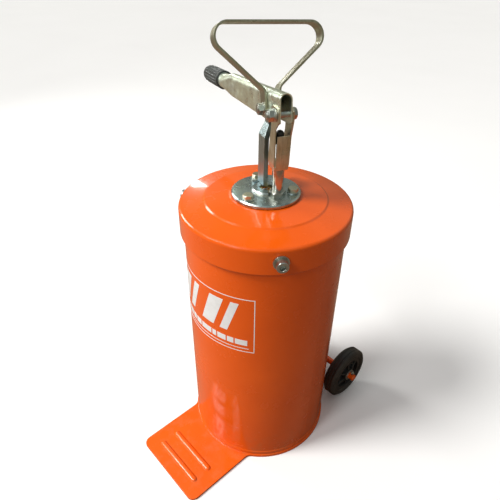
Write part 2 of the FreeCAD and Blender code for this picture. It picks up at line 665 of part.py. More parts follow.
def lever_support():
    """A flat bar welded up from the flange, which steps inwards to run inside the lever."""
    x0, x1 = FULCRUM_X - STRAP_HALF, FULCRUM_X + STRAP_HALF
    eye_z, top = FULCRUM_Z - 8, FULCRUM_Z + 9
    front = [(x0, FLANGE_TOP), (x1, FLANGE_TOP), (x1, JOGGLE_Z0), (x1 - 2, JOGGLE_Z1),
             (x1 - 2, top - 4), (x1 - 6, top), (x0 + 6, top), (x0 + 2, top - 4),
             (x0 + 2, eye_z), (x0 + 5, eye_z - 4), (x0 + 5, JOGGLE_Z1), (x0, JOGGLE_Z0)]
    low_in, high_in = STRAP_OUT_Y - STRAP_T, STRAP_HEAD_Y - STRAP_HEAD_T
    side = [(low_in, FLANGE_TOP), (STRAP_OUT_Y, FLANGE_TOP), (STRAP_OUT_Y, JOGGLE_Z0 + 1),
            (STRAP_HEAD_Y, JOGGLE_Z1 + 1), (STRAP_HEAD_Y, top), (high_in, top),
            (high_in, JOGGLE_Z1 - 1), (low_in, JOGGLE_Z0 - 1), (low_in, FLANGE_TOP)]
    profile = Part.Face(Part.makePolygon([Vec(x0 - 5, y, z) for y, z in side]))
    bar = profile.extrude(Vec(x1 - x0 + 10, 0, 0)).common(prism(front, high_in - 5, STRAP_OUT_Y + 5))
    foot = box(x0, x1, STRAP_OUT_Y - 0.5, STRAP_OUT_Y + 9, FLANGE_TOP, FLANGE_TOP + 4.5)
    foot = foot.cut(cyl(COLLAR_R + 0.2, FLANGE_TOP - 1, COLLAR_TOP + 2))
    bar = bar.cut(cyl(COLLAR_R + 0.2, FLANGE_TOP - 1, COLLAR_TOP + 0.3))
    for x, y in screw_places():
        foot = foot.cut(cyl(8.4, FLANGE_TOP - 1, COLLAR_TOP + 2, x, y))
    bar = bar.fuse(foot).removeSplitter()
    return head(bar.cut(fulcrum_rod(SLEEVE_R + RUNNING, -40, 40)))


def fulcrum_rod(r, y0, y1):
    return rod_along((FULCRUM_X, y0, FULCRUM_Z), (FULCRUM_X, y1, FULCRUM_Z), r)


def link_rod(r, y0, y1):
    return rod_along((LINK_X, y0, LINK_Z), (LINK_X, y1, LINK_Z), r)


def rounded_path(points, radii):
    """A wire through points whose inner corners are rounded with the given radii."""
    edges, start = [], points[0]
    for before, corner, after, r in zip(points, points[1:], points[2:], radii):
        a, b = (before - corner).normalize(), (after - corner).normalize()
        half = a.getAngle(b) / 2
        back = r / math.tan(half)
        middle = corner + (a + b).normalize() * (r / math.sin(half) - r)
        first, last = corner + a * back, corner + b * back
        edges += [Part.makeLine(start, first), Part.Arc(first, middle, last).toShape()]
        start = last
    return Part.Wire(edges + [Part.makeLine(start, points[-1])])


def carrying_handle():
    """A flat strip bent into a rounded triangle, its two legs held by the fulcrum bolt."""
    left, right = HANDLE_CORNERS
    knee_left, knee_right = HANDLE_KNEES
    outline = [(LEG_LEFT, -HANDLE_FOOT), (LEG_LEFT, knee_left), left,
               right, (LEG_RIGHT, knee_right), (LEG_RIGHT, -HANDLE_FOOT)]
    points = [Vec(FULCRUM_X, y, FULCRUM_Z + rise) for y, rise in outline]
    path = rounded_path(points, [BEND_R, HANDLE_R, HANDLE_R, BEND_R])
    w, t = HANDLE_W / 2, HANDLE_T / 2
    foot_z = FULCRUM_Z - HANDLE_FOOT
    corners = [(-w, -t), (w, -t), (w, t), (-w, t), (-w, -t)]
    section = Part.makePolygon([Vec(FULCRUM_X + a, LEG_LEFT + b, foot_z) for a, b in corners])
    strip = path.makePipeShell([section], True, False)
    strip = fillet(strip, 7, lambda e: e.BoundBox.ZMax < foot_z + 0.01 and e.Length < HANDLE_T + 0.01)
    strip = turned(strip, HANDLE_LEAN, Vec(FULCRUM_X, 0, FULCRUM_Z), AXIS_Y)
    return head(strip.cut(fulcrum_rod(BOLT_R + 0.05, -60, 40)))


def cross_bolt(axis_rod, centre, y_head, y_nut, washers=1, crown_h=0.0):
    """A cross bolt with its head on the -Y side, and its nut with washers under it.

    A nut with a crown is a locking nut: a round collar stands on its hexagon.
    """
    x, z = centre
    washer_t, nut_h = 1.6, 6.5
    nut_y = y_nut + washers * washer_t
    nut_end = nut_y + nut_h + crown_h
    bolt = axis_rod(BOLT_R, y_head, nut_end + 1.0)
    bolt = bolt.fuse(hexagon(13, 5.3, (x, y_head, z), Vec(0, -1, 0))).removeSplitter()
    nut = hexagon(13, nut_h, (x, nut_y, z), AXIS_Y)
    if crown_h:
        nut = nut.fuse(axis_rod(5.5, nut_y + nut_h - 1, nut_end)).removeSplitter()
    nut = nut.cut(axis_rod(BOLT_R, nut_y - 1, nut_end + 1))
    stack = []
    for i in range(washers):
        y0 = y_nut + i * washer_t
        stack.append(axis_rod(8, y0, y0 + washer_t).cut(axis_rod(BOLT_R + 0.2, y0 - 1, nut_y + 1)))
    return head(bolt), head(nut), head(group(stack))


def fulcrum_sleeve():
    """The spacer that the lever turns on, clamped between the handle's legs."""
    y0, y1 = MID_Y - LEVER_SIDE - GAP, MID_Y + LEVER_SIDE + GAP
    return head(fulcrum_rod(SLEEVE_R, y0, y1).cut(fulcrum_rod(BOLT_R + 0.05, y0 - 1, y1 + 1)))


def obround(x, width, height, centre_z):
    """A flattened-tube outline across the lever at x; equal width and height give a near circle."""
    r = width / 2
    s = max(height / 2 - r, 0.05)
    top, bottom = centre_z + s, centre_z - s
    pts = [Vec(x, -r, bottom), Vec(x, -r, top), Vec(x, 0, top + r), Vec(x, r, top),
           Vec(x, r, bottom), Vec(x, 0, bottom - r)]
    edges = [Part.makeLine(pts[0], pts[1]), Part.Arc(pts[1], pts[2], pts[3]).toShape(),
             Part.makeLine(pts[3], pts[4]), Part.Arc(pts[4], pts[5], pts[0]).toShape()]
    return Part.Wire(edges)


def lever_tube(shrink):
    """The lever's outer shape, or its bore when shrink is the wall."""
    w, d = LEVER_W - 2 * shrink, 2 * LEVER_TUBE_R - 2 * shrink
    near_h, far_h = LEVER_H_NEAR - 2 * shrink, LEVER_H_FAR - 2 * shrink
    past = 1.0 if shrink else 0.0
    stations = [(LEVER_NEAR - past, w, near_h), (NECK_START, w, far_h), (NECK_END, d, d),
                (LEVER_END + past, d, d)]
    rings = [obround(x, width, height, LEVER_RISE) for x, width, height in stations]
    lengths = [Part.makeLoft([a, b], True, True) for a, b in zip(rings, rings[1:])]
    return lengths[0].fuse(lengths[1]).fuse(lengths[2])


def place_lever(shape):
    shape.rotate(Vec(0, 0, 0), AXIS_Y, LEVER_TILT)
    shape.translate(Vec(LINK_X, MID_Y, LINK_Z))
    return head(shape)


def lever_arm():
    arm = lever_tube(0).cut(lever_tube(LEVER_WALL))
    mouth_end = LINK_ARM + 14
    arm = arm.cut(box(LEVER_NEAR - 1, mouth_end, -20, 20, -30, -EAR_R))
    ear_trim = box(LEVER_NEAR - 1, 0, -20, 20, -30, 0)
    ear_trim = ear_trim.cut(rod_along((0, -20, 0), (0, 20, 0), EAR_R))
    arm = arm.cut(ear_trim.common(box(-20, 20, -20, 20, -30, -3)))
    arm = arm.cut(rod_along((0, -20, 0), (0, 20, 0), BOLT_R + 0.03))
    arm = arm.cut(rod_along((LINK_ARM, -20, 0), (LINK_ARM, 20, 0), SLEEVE_R + RUNNING))
    return place_lever(arm)


def lever_grip():
    grip = rod_along((GRIP_START, 0, LEVER_RISE), (GRIP_START + GRIP_LEN, 0, LEVER_RISE), GRIP_R)
    end = [e for e in grip.Edges if abs(e.CenterOfMass.x - GRIP_START - GRIP_LEN) < 0.01]
    grip = grip.makeFillet(6, end)
    lip = [e for e in grip.Edges if abs(e.CenterOfMass.x - GRIP_START) < 0.01]
    grip = grip.makeFillet(1.5, lip)
    bore = Part.Face(obround(GRIP_START - 1, 2 * LEVER_TUBE_R, 2 * LEVER_TUBE_R, LEVER_RISE))
    return place_lever(grip.cut(bore.extrude(Vec(LEVER_END - GRIP_START + 1, 0, 0))))


# ---- write every node ----
os.makedirs("parts", exist_ok=True)

save("base_plate", base_plate())
save("drum_shell", drum_shell())
save("drum_bottom", drum_bottom())
save("axle_brackets", axle_brackets())
save("wheel_axle", wheel_axle())
inner_face = WHEEL_X - WHEEL_W / 2
outer_face = WHEEL_X + WHEEL_W / 2
save("axle_collars", group(axle_rings(9, inner_face - 6, inner_face - 2)))
save("axle_washers", group(axle_rings(11, inner_face - 2, inner_face - 0.3)
                           + axle_rings(11, outer_face + 0.3, outer_face + 2)))
save("axle_split_pins", split_pins())
for name, side in (("left", -1), ("right", 1)):
    save("tyre_" + name, tyre(side))
    save("wheel_hub_" + name, wheel_hub(side))

save("lid", lid())
save("lid_seal", lid_seal())
save("lid_clamp_screws", lid_clamps(clamp_screw()))
save("lid_clamp_washers", lid_clamps(clamp_washer()))
save("lid_weld_nuts", lid_clamps(clamp_nut()))
save("flange_gasket", flange_gasket())
save("pump_flange", pump_flange())
save("filler_plug", filler_plug())
save("flange_screws", flange_screws())
save("flange_washers", flange_washers())
save("flange_nuts", flange_nuts())
save("gland_nut", gland_nut())
save("rod_seal", rod_seal())
save("guide_bush", guide_bush())
save("delivery_pipe", delivery_pipe())
save("outlet_fitting", outlet_fitting())

save("pump_cylinder", pump_cylinder())
save("foot_valve_body", foot_valve_body())
save("foot_valve_pin", head(foot_pin(1.2)))
save("foot_valve_ball", ball(FOOT_BALL_R, FOOT_SEAT_R, FOOT_SEAT_Z))
save("strainer", strainer())
save("piston_rod", piston_rod())
save("rod_nut", rod_nut())
save("piston", piston())
save("piston_seals", piston_seals())
save("piston_ball", ball(PISTON_BALL_R, PISTON_SEAT_R, PISTON_SEAT_Z))

save("yoke", yoke())
save("buffer_dome", buffer_dome())
save("lever_support", lever_support())
save("carrying_handle", carrying_handle())
save("fulcrum_sleeve", fulcrum_sleeve())
fulcrum = cross_bolt(fulcrum_rod, (FULCRUM_X, FULCRUM_Z), LEG_RIGHT - HANDLE_T / 2,
                     LEG_LEFT + HANDLE_T / 2)
for name, shape in zip(("fulcrum_bolt", "fulcrum_nut", "fulcrum_washer"), fulcrum):
    save(name, shape)
link_side = YOKE_HALF + GAP
link = cross_bolt(link_rod, (LINK_X, LINK_Z), MID_Y - link_side, MID_Y + link_side, 2, 1.5)
for name, shape in zip(("link_bolt", "link_nut", "link_washers"), link):
    save(name, shape)
save("lever_arm", lever_arm())
save("lever_grip", lever_grip())
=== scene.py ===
"""Looks, lights and camera for the gear oil pump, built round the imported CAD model."""

import math

import bmesh
import bpy
from mathutils import Matrix, Vector


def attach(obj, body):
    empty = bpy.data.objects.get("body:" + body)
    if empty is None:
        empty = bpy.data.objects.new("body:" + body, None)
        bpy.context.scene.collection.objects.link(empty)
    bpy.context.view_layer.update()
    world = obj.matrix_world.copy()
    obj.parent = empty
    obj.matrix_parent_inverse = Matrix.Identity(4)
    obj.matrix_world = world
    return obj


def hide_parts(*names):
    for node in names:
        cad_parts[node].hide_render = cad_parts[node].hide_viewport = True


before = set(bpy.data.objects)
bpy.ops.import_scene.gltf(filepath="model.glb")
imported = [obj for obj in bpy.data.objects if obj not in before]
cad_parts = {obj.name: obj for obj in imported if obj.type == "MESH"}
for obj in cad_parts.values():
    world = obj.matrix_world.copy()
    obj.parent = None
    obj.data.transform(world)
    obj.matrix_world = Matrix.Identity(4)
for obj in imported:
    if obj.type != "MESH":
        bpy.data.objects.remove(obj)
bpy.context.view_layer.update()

MM = 0.001

# ---- places shared with the CAD model, in millimetres ----
DRUM_R = 117.5
CHIME_R = 118.4
BASE_TOP = 4.0
BRACKET_X = 33.0
BRACKET_HALF_T = 2.5
BRACKET_END_Y = 152.0
FLANGE_TOP = 460.0
COLLAR_R = 20.0
ROD_X = -19.0
GLAND_POCKET = 13.0            # radius of the gap in the collar round the rod's gland
STRAP_X = (1.5, 23.5)
STRAP_Y = (-2.5, 4.0)
WHEEL_X = 90.0
AXLE_Y = 140.0
AXLE_Z = 52.0
HEAD_ANGLE = 156.0             # the pump head's turn on the lid, in degrees
MID_Y = -9.0                   # the plane that the lever, rod and yoke share
LINK_X = -27.442
LINK_Z = 573.551
LEVER_TILT = 6.5               # how far the lever slopes down at rest, in degrees
LEVER_RISE = 4.0               # the grip's axis above the link bolt's
GRIP_START = 262.0             # from the link bolt, along the lever

HEAD = Matrix.Rotation(math.radians(HEAD_ANGLE), 4, "Z")
LEVER = HEAD @ Matrix.Translation((LINK_X, MID_Y, LINK_Z)) @ Matrix.Rotation(
    math.radians(LEVER_TILT), 4, "Y"
)


# ---- materials ----
class Paint:
    """A node material under construction."""

    def __init__(self, name, roughness, metallic=0.0, coat=0.0):
        self.material = bpy.data.materials.new(name)
        self.material.use_nodes = True
        self.tree = self.material.node_tree
        self.shader = self.tree.nodes["Principled BSDF"]
        self.shader.inputs["Metallic"].default_value = metallic
        self.shader.inputs["Roughness"].default_value = roughness
        self.shader.inputs["Coat Weight"].default_value = coat
        self.shader.inputs["Coat Roughness"].default_value = 0.04
        self.place = self.node("ShaderNodeTexCoord").outputs["Object"]

    def node(self, kind):
        return self.tree.nodes.new(kind)

    def link(self, source, socket):
        self.tree.links.new(source, socket)

    def stretched(self, stretch):
        """The object's coordinates, scaled by a different amount along each axis."""
        mapping = self.node("ShaderNodeMapping")
        mapping.inputs["Scale"].default_value = stretch
        self.link(self.place, mapping.inputs["Vector"])
        return mapping.outputs["Vector"]

    def noise(self, scale, detail=3.0, roughness=0.55, stretch=None, distortion=0.0):
        noise = self.node("ShaderNodeTexNoise")
        noise.inputs["Scale"].default_value = scale
        noise.inputs["Detail"].default_value = detail
        noise.inputs["Roughness"].default_value = roughness
        noise.inputs["Distortion"].default_value = distortion
        self.link(self.stretched(stretch) if stretch else self.place, noise.inputs["Vector"])
        return noise.outputs["Fac"]

    def rescale(self, value, low, high, to_low=0.0, to_high=1.0):
        ramp = self.node("ShaderNodeMapRange")
        ramp.inputs["From Min"].default_value = low
        ramp.inputs["From Max"].default_value = high
        ramp.inputs["To Min"].default_value = to_low
        ramp.inputs["To Max"].default_value = to_high
        self.link(value, ramp.inputs["Value"])
        return ramp.outputs["Result"]

    def maths(self, kind, a, b):
        maths = self.node("ShaderNodeMath")
        maths.operation = kind
        for socket, value in zip(maths.inputs, (a, b)):
            if isinstance(value, float):
                socket.default_value = value
            else:
                self.link(value, socket)
        return maths.outputs["Value"]

    def mix(self, factor, a, b):
        """One colour into another; a and b are colours or sockets."""
        mix = self.node("ShaderNodeMix")
        mix.data_type = "RGBA"
        self.link(factor, mix.inputs["Factor"])
        for socket, value in ((mix.inputs[6], a), (mix.inputs[7], b)):
            if isinstance(value, tuple):
                socket.default_value = (*value, 1.0)
            else:
                self.link(value, socket)
        return mix.outputs[2]

    def edges(self, radius, low, high):
        """1 along sharp edges and 0 on open faces, from a rounded copy of the normal."""
        bevel = self.node("ShaderNodeBevel")
        bevel.samples = 4
        bevel.inputs["Radius"].default_value = radius
        flat = self.node("ShaderNodeNewGeometry").outputs["Normal"]
        dot = self.node("ShaderNodeVectorMath")
        dot.operation = "DOT_PRODUCT"
        self.link(bevel.outputs["Normal"], dot.inputs[0])
        self.link(flat, dot.inputs[1])
        return self.rescale(dot.outputs["Value"], high, low)

    def height(self):
        """Height above the ground in the object's own coordinates."""
        parts = self.node("ShaderNodeSeparateXYZ")
        self.link(self.place, parts.inputs["Vector"])
        return parts.outputs["Z"]

    def bumps(self, layers, round_edges=None):
        """Chains (height, strength, distance) layers into the shader's normal."""
        normal = None
        if round_edges:
            bevel = self.node("ShaderNodeBevel")
            bevel.samples = 6
            bevel.inputs["Radius"].default_value = round_edges
            normal = bevel.outputs["Normal"]
        for height, strength, distance in layers:
            bump = self.node("ShaderNodeBump")
            bump.inputs["Strength"].default_value = strength
            bump.inputs["Distance"].default_value = distance
            self.link(height, bump.inputs["Height"])
            if normal:
                self.link(normal, bump.inputs["Normal"])
            normal = bump.outputs["Normal"]
        self.link(normal, self.shader.inputs["Normal"])

    def colour(self, value):
        self.link(value, self.shader.inputs["Base Color"])

    def roughness(self, value):
        self.link(value, self.shader.inputs["Roughness"])


def enamel():
    """Glossy sprayed orange paint with faint orange peel, dust low down and rubbed edges."""
    p = Paint("orange_enamel_paint", 0.26, coat=0.5)
    p.shader.inputs["Specular IOR Level"].default_value = 0.22
    tone = p.mix(p.rescale(p.noise(7.0), 0.35, 0.65), (0.83, 0.111, 0.003), (0.75, 0.093, 0.002))
    flecks = p.rescale(p.noise(190.0, 4.0, 0.7), 0.66, 0.80)
    tone = p.mix(p.maths("MULTIPLY", flecks, 0.18), tone, (0.50, 0.060, 0.006))
    low_dust = p.rescale(p.height(), 0.075, 0.0)
    dust = p.maths("MULTIPLY", low_dust, p.rescale(p.noise(55.0, 5.0, 0.65), 0.48, 0.72))
    tone = p.mix(p.maths("MULTIPLY", dust, 0.35), tone, (0.42, 0.18, 0.07))
    worn = p.maths("MULTIPLY", p.edges(0.0009, 0.80, 0.97), p.rescale(p.noise(95.0, 5.0), 0.50, 0.62))
    tone = p.mix(p.maths("MULTIPLY", worn, 0.6), tone, (0.93, 0.32, 0.09))
    p.colour(tone)
    p.roughness(p.rescale(p.noise(24.0, 5.0, 0.6), 0.3, 0.75, 0.16, 0.34))
    p.bumps(
        [(p.noise(520.0, 2.0), 0.06, 0.0002), (p.noise(26.0, 2.0), 0.10, 0.0012)],
        round_edges=0.0010,
    )
    return p.material


def zinc(name, cool, warm, dark, bright, streaks=(40.0, 40.0, 6.0), gloss=0.0):
    """Zinc plate: a crystalline cool grey with warm passivation stains and rolled streaks."""
    p = Paint(name, 0.3, metallic=1.0)
    patches = p.rescale(p.noise(26.0, 5.0, 0.6, distortion=0.6), 0.40, 0.64)
    tone = p.mix(patches, cool, warm)
    streak = p.rescale(p.noise(9.0, 6.0, 0.62, stretch=streaks), 0.35, 0.72)
    tone = p.mix(p.maths("MULTIPLY", streak, 0.45), tone, dark)
    specks = p.rescale(p.noise(330.0, 3.0, 0.7), 0.62, 0.74)
    tone = p.mix(p.maths("MULTIPLY", specks, 0.4), tone, dark)
    tone = p.mix(p.maths("MULTIPLY", p.edges(0.0006, 0.80, 0.98), 0.6), tone, bright)
    p.colour(tone)
    p.roughness(p.rescale(p.noise(60.0, 6.0, 0.7), 0.32, 0.72, 0.24 - gloss, 0.46 - gloss))
    p.bumps(
        [(p.noise(11.0, 5.0, 0.6, stretch=streaks), 0.16, 0.0004),
         (p.noise(700.0, 2.0), 0.12, 0.0001)],
        round_edges=0.0007,
    )
    return p.material


def ground_steel():
    """The ground piston rod and the balls, with fine rings and an oil film."""
    p = Paint("ground_steel", 0.16, metallic=1.0)
    rings = p.noise(3.0, 4.0, 0.6, stretch=(20.0, 20.0, 900.0))
    film = p.rescale(p.noise(35.0, 4.0), 0.4, 0.62)
    p.colour(p.mix(film, (0.56, 0.56, 0.54), (0.40, 0.37, 0.32)))
    p.roughness(p.rescale(rings, 0.3, 0.7, 0.10, 0.24))
    p.bumps([(rings, 0.08, 0.0001)], round_edges=0.0005)
    return p.material


def drawn_steel():
    """Oily drawn tube under the lid."""
    p = Paint("drawn_steel", 0.35, metallic=1.0)
    stains = p.rescale(p.noise(32.0, 6.0, 0.65), 0.38, 0.62)
    p.colour(p.mix(stains, (0.38, 0.38, 0.37), (0.20, 0.16, 0.11)))
    p.roughness(p.rescale(p.noise(85.0, 4.0), 0.3, 0.7, 0.22, 0.5))
    p.bumps([(p.noise(8.0, 5.0, 0.6, stretch=(90.0, 90.0, 4.0)), 0.2, 0.0003)], round_edges=0.0005)
    return p.material


def brass():
    p = Paint("machined_brass", 0.25, metallic=1.0)
    tarnish = p.rescale(p.noise(45.0, 5.0, 0.6), 0.42, 0.66)
    p.colour(p.mix(tarnish, (0.78, 0.56, 0.25), (0.46, 0.29, 0.11)))
    p.roughness(p.rescale(p.noise(150.0, 4.0), 0.3, 0.7, 0.16, 0.38))
    p.bumps([(p.noise(4.0, 3.0, 0.5, stretch=(30.0, 30.0, 700.0)), 0.12, 0.0001)], round_edges=0.0004)
    return p.material


def rubber(name, base, dusty, gloss, dust_share):
    """Moulded black rubber or plastic with a fine grain and grey dust on its edges."""
    p = Paint(name, gloss)
    cloud = p.rescale(p.noise(38.0, 5.0, 0.65), 0.42, 0.70)
    tone = p.mix(p.maths("MULTIPLY", cloud, dust_share), base, dusty)
    tone = p.mix(p.maths("MULTIPLY", p.edges(0.0008, 0.80, 0.98), 0.35), tone, dusty)
    p.colour(tone)
    p.roughness(p.rescale(p.noise(70.0, 4.0), 0.3, 0.7, gloss - 0.08, gloss + 0.16))
    p.bumps(
        [(p.noise(420.0, 3.0, 0.6), 0.22, 0.0002), (p.noise(60.0, 3.0), 0.10, 0.0005)],
        round_edges=0.0008,
    )
    return p.material


def printed_white():
    """White printing on the paint, a little dirty and rubbed thin in places."""
    p = Paint("printed_white", 0.32, coat=0.4)
    dirt = p.rescale(p.noise(60.0, 5.0, 0.65), 0.45, 0.75)
    tone = p.mix(p.maths("MULTIPLY", dirt, 0.5), (0.82, 0.85, 0.86), (0.66, 0.67, 0.64))
    rubbed = p.rescale(p.noise(210.0, 4.0, 0.7), 0.70, 0.76)
    p.colour(p.mix(p.maths("MULTIPLY", rubbed, 0.7), tone, (0.80, 0.22, 0.07)))
    p.roughness(p.rescale(p.noise(40.0, 4.0), 0.3, 0.7, 0.24, 0.42))
    p.bumps([(p.noise(520.0, 2.0), 0.08, 0.0002)])
    return p.material


def pale_floor():
    """A pale studio floor that gives back only a dim warm tone in reflections and bounces."""
    p = Paint("pale_floor", 0.7)
    pale = p.mix(p.rescale(p.noise(1.4, 4.0), 0.3, 0.7), (0.955, 0.955, 0.95), (0.93, 0.93, 0.925))
    seen = p.node("ShaderNodeLightPath").outputs["Is Camera Ray"]
    p.colour(p.mix(seen, (0.22, 0.15, 0.10), pale))
    p.bumps([(p.noise(60.0, 3.0), 0.03, 0.001)])
    return p.material


ENAMEL = enamel()
ZINC = zinc("zinc_plate_cool", (0.42, 0.47, 0.47), (0.47, 0.46, 0.38), (0.17, 0.19, 0.19),
            (0.80, 0.83, 0.82))
ZINC_WARM = zinc("zinc_plate_warm", (0.66, 0.66, 0.52), (0.55, 0.49, 0.33), (0.26, 0.24, 0.17),
                 (0.84, 0.82, 0.72))
ZINC_OLIVE = zinc("zinc_plate_olive", (0.43, 0.45, 0.36), (0.36, 0.35, 0.25), (0.16, 0.16, 0.11),
                  (0.60, 0.61, 0.52))
# The lever's zinc plate has a brighter, greener tint than the other zinc: a painted reflection of the
# room on the lever's side, not the plating's own colour.
ZINC_LEVER_PAINTED_REFLECTION = zinc("zinc_plate_lever_painted_reflection", (0.88, 1.00, 0.90), (0.86, 0.96, 0.78), (0.50, 0.56, 0.48),
                  (0.95, 0.98, 0.94), streaks=(7.0, 14.0, 60.0))
ZINC_SLATE = zinc("zinc_plate_slate", (0.32, 0.42, 0.45), (0.34, 0.40, 0.39), (0.12, 0.15, 0.16),
                  (0.66, 0.74, 0.76))
ZINC_FLANGE = zinc("zinc_plate_flange", (0.44, 0.52, 0.53), (0.43, 0.47, 0.43), (0.16, 0.19, 0.19),
                   (0.72, 0.78, 0.80), gloss=0.05)
ROD_STEEL = ground_steel()
TUBE_STEEL = drawn_steel()
BRASS = brass()
SEAL_RUBBER = rubber("seal_rubber", (0.010, 0.010, 0.010), (0.05, 0.05, 0.05), 0.42, 0.4)
TYRE_RUBBER = rubber("tyre_rubber", (0.014, 0.012, 0.011), (0.060, 0.054, 0.046), 0.50, 0.55)
HUB_PLASTIC = rubber("hub_plastic", (0.012, 0.011, 0.011), (0.050, 0.046, 0.040), 0.38, 0.4)
GRIP_RUBBER = rubber("grip_rubber", (0.014, 0.019, 0.018), (0.070, 0.084, 0.080), 0.46, 0.4)
PRINT_WHITE = printed_white()

SLOT_MATERIALS = {
    "orange_enamel": ENAMEL,
    "zinc_plate": ZINC,
    "bright_steel": ROD_STEEL,
    "bare_steel": TUBE_STEEL,
    "brass": BRASS,
    "black_rubber": SEAL_RUBBER,
    "tyre_rubber": TYRE_RUBBER,
    "black_plastic": HUB_PLASTIC,
}
NODE_MATERIALS = {
    "carrying_handle": ZINC_OLIVE,
    "yoke": ZINC_WARM,
    "lever_support": ZINC_SLATE,
    "pump_flange": ZINC_FLANGE,
    "lever_arm": ZINC_LEVER_PAINTED_REFLECTION,
    "flange_screws": ZINC_WARM,
    "filler_plug": BRASS,
}


def dress_nodes():
    """Gives every CAD node its own material where it has one, and else its slot's."""
    for name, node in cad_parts.items():
        for slot in node.material_slots:
            slot_name = slot.material.name.split(".")[0]
            slot.material = NODE_MATERIALS.get(name) or SLOT_MATERIALS[slot_name]


# ---- mesh building ----
def piece(name, points, faces, body, material, matrix=None, smooth=True):
    """A mesh in millimetres becomes an object in metres that rides on a body."""
    mesh = bpy.data.meshes.new(name)
    matrix = matrix or Matrix.Identity(4)
    mesh.from_pydata([(matrix @ Vector(p)) * MM for p in points], [], faces)
    mesh.validate()
    mesh.materials.append(material)
    mesh.polygons.foreach_set("use_smooth", [smooth] * len(mesh.polygons))
    made = bpy.data.objects.new(name, mesh)
    bpy.context.scene.collection.objects.link(made)
    outward(mesh)
    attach(made, body)
    return made


def outward(mesh):
    """Turns every closed shell's faces outwards."""
    work = bmesh.new()
    work.from_mesh(mesh)
    bmesh.ops.recalc_face_normals(work, faces=work.faces)
    work.to_mesh(mesh)
    work.free()


def loft(rings, closed_rings=False):
    """Quads between equal closed rings; closed_rings joins the last ring to the first."""
    count = len(rings[0])
    points = [p for ring in rings for p in ring]
    faces = []
    last = len(rings) if closed_rings else len(rings) - 1
    for i in range(last):
        a, b = i * count, (i + 1) % len(rings) * count
        for j in range(count):
            k = (j + 1) % count
            faces.append((a + j, a + k, b + k, b + j))
    if not closed_rings:
        faces.append(tuple(reversed(range(count))))
        faces.append(tuple(range((len(rings) - 1) * count, len(rings) * count)))
    return points, faces


def lathe(section, steps=128):
    """A closed (radius, height) section turned round Z."""
    rings = []
    for i in range(steps):
        a = 2 * math.pi * i / steps
        rings.append([(r * math.cos(a), r * math.sin(a), z) for r, z in section])
    return loft(rings, closed_rings=True)


def bead_line(path, normal, radius, ripple, closed=False):
    """A rippled weld bead: round rings along a path, so that half of it is sunk."""
    rings = []
    count = len(path)
    for i, p in enumerate(path):
        before = path[i - 1] if i or closed else path[i]
        after = path[(i + 1) % count] if i + 1 < count or closed else path[i]
        along = (Vector(after) - Vector(before)).normalized()
        out = Vector(normal[i] if isinstance(normal, list) else normal).normalized()
        across = along.cross(out)
        swell = radius * (1 + ripple * math.cos(i * math.pi / 2))
        ring = []
        for k in range(8):
            a = 2 * math.pi * k / 8
            ring.append(Vector(p) + (across * math.cos(a) + out * math.sin(a)) * swell)
        rings.append(ring)
    return loft(rings, closed_rings=closed)


def merge(*shells):
    """Several (points, faces) shells as one."""
    points, faces = [], []
    for shell_points, shell_faces in shells:
        base = len(points)
        points += shell_points
        faces += [tuple(i + base for i in f) for f in shell_faces]
    return points, faces


def spaced(start, end, pitch):
    """Points from start to end about one pitch apart."""
    a, b = Vector(start), Vector(end)
    steps = max(2, round((b - a).length / pitch))
    return [a.lerp(b, i / steps) for i in range(steps + 1)]


# ---- drum details ----
def drum_patch(outline, lift=0.12):
    """A thin closed skin on the drum. The outline is four corners of (degrees, height)."""
    (a0, z0), (a1, z1), (a2, z2), (a3, z3) = outline
    columns = max(1, round((a1 - a0) / 2))
    rows = 1 + round(abs(a3 - a0))
    points, faces = [], []
    for r in (DRUM_R + lift, DRUM_R - 0.3):
        for i in range(columns + 1):
            t = i / columns
            for j in range(rows + 1):
                u = j / rows
                a = math.radians((a0 + (a1 - a0) * t) * (1 - u) + (a3 + (a2 - a3) * t) * u)
                z = (z0 + (z1 - z0) * t) * (1 - u) + (z3 + (z2 - z3) * t) * u
                points.append((r * math.cos(a), r * math.sin(a), z))
    size = (columns + 1) * (rows + 1)

    def at(i, j, under):
        return under * size + i * (rows + 1) + j

    for under in (0, 1):
        for i in range(columns):
            for j in range(rows):
                faces.append((at(i, j, under), at(i + 1, j, under),
                              at(i + 1, j + 1, under), at(i, j + 1, under)))
    for j in range(rows):
        for i in (0, columns):
            faces.append((at(i, j, 0), at(i, j + 1, 0), at(i, j + 1, 1), at(i, j, 1)))
    for i in range(columns):
        for j in (0, rows):
            faces.append((at(i, j, 0), at(i + 1, j, 0), at(i + 1, j, 1), at(i, j, 1)))
    return points, faces


def rectangle(a0, a1, z0, z1, lean=0.0):
    """Four corners on the drum; lean shifts the upper edge sideways in degrees."""
    return [(a0, z0), (a1, z0), (a1 + lean, z1), (a0 + lean, z1)]


LABEL_A0, LABEL_A1 = -130.5, -49.5                      # degrees round the drum
LABEL_Z0, LABEL_Z1 = 258.0, 357.0
LABEL_LINE = 1.2
LABEL_MARGIN = 4.0                                      # degrees
SLASH_Z = (293.0, 347.0)
SLASH_LEAN = 9.0
DASH_Z = (271.0, 281.0)
RULE_Z = (264.3, 265.4)


